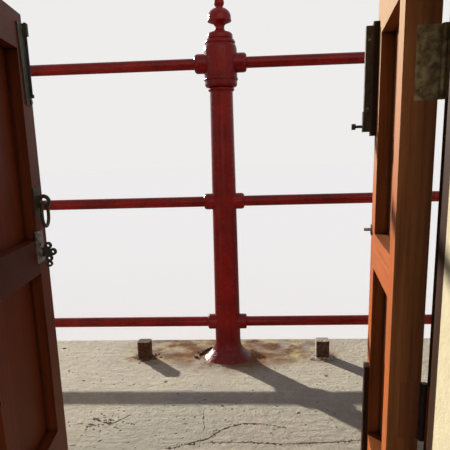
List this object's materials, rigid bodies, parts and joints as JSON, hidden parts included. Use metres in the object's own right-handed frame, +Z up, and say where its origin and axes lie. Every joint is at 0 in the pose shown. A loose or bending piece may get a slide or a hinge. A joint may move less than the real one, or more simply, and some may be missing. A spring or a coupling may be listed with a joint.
{
  "type": "lighthouse gallery section with door and railing",
  "caption": "Lighthouse gallery section: concrete walkway, lantern-base wall with a small panelled door whose leaves swing outward, and cast-iron posts with ball finials and pipe rails.",
  "frame": {"origin": "on the underside of the walkway slab, straight under the axis of the middle post", "axes": "+X along the railing, +Y out over the walkway's free edge, +Z up; the doorway faces +Y and is centred on X = 0"},
  "size_m": [3.1, 1.696, 1.5],
  "materials": {
    "concrete": "rough, weathered",
    "rusted_iron": "rusted",
    "plaster_wall": "matte lime render",
    "frame_timber": "worn oil finish",
    "painted_cast_iron": "gloss paint, worn",
    "painted_pipe": "gloss paint, worn",
    "hinge_bronze": "tarnished",
    "block_timber": "worn varnish",
    "dark_bronze": "dark patina",
    "bright_steel": "brushed",
    "door_timber": "weathered varnish"
  },
  "bodies": {
    "gallery": {"gallery_deck": "concrete", "deck_stubs": "rusted_iron", "wall_left": "plaster_wall", "wall_right": "plaster_wall", "wall_over_door": "plaster_wall", "frame_left_jamb": "frame_timber", "frame_right_jamb": "frame_timber", "frame_head": "frame_timber", "door_sill": "frame_timber", "post_feet": "painted_cast_iron", "left_post": "painted_cast_iron", "middle_post": "painted_cast_iron", "right_post": "painted_cast_iron", "post_finials": "painted_cast_iron", "top_rails": "painted_pipe", "middle_rails": "painted_pipe", "bottom_rails": "painted_pipe", "left_frame_hinges": "hinge_bronze", "right_frame_hinges": "hinge_bronze"},
    "left_leaf": {"left_leaf_hinge_stile": "door_timber", "left_leaf_meeting_stile": "door_timber", "left_leaf_top_rail": "door_timber", "left_leaf_lock_rail": "door_timber", "left_leaf_bottom_rail": "door_timber", "left_leaf_upper_panel": "door_timber", "left_leaf_lower_panel": "door_timber", "left_leaf_hinges": "hinge_bronze", "left_bolt_plate": "dark_bronze", "left_ring_plate": "dark_bronze", "left_lock": "bright_steel"},
    "left_bolt": {"left_bolt": "dark_bronze"},
    "left_ring": {"left_ring": "dark_bronze"},
    "right_leaf": {"right_leaf_hinge_stile": "door_timber", "right_leaf_meeting_stile": "door_timber", "right_leaf_top_rail": "door_timber", "right_leaf_lock_rail": "door_timber", "right_leaf_bottom_rail": "door_timber", "right_leaf_upper_panel": "door_timber", "right_leaf_lower_panel": "door_timber", "right_leaf_hinges": "hinge_bronze", "right_bolt_blocks": "block_timber", "right_bolt_case": "dark_bronze", "right_catch": "bright_steel"},
    "right_bolt": {"right_bolt": "dark_bronze"}
  },
  "joints": [
    {"name": "left_door_hinge", "type": "hinge", "parent": "gallery", "child": "left_leaf", "pos_m": [-0.41125, -1.1535, 0.7685], "axis": [0, 0, 1], "range_deg": [-96, 74]},
    {"name": "right_door_hinge", "type": "hinge", "parent": "gallery", "child": "right_leaf", "pos_m": [0.41125, -1.1535, 0.7685], "axis": [0, 0, -1], "range_deg": [-96, 74]},
    {"name": "left_bolt_slide", "type": "slide", "parent": "left_leaf", "child": "left_bolt", "axis": [0, 0, 1], "range_m": [0, 0.032]},
    {"name": "right_bolt_slide", "type": "slide", "parent": "right_leaf", "child": "right_bolt", "axis": [0, 0, 1], "range_m": [0, 0.065]},
    {"name": "ring_pivot", "type": "hinge", "parent": "left_leaf", "child": "left_ring", "pos_m": [-0.37222, -0.79295, 0.833], "axis": [0.1045, -0.9945, 0], "range_deg": [0, 110]}
  ]
}
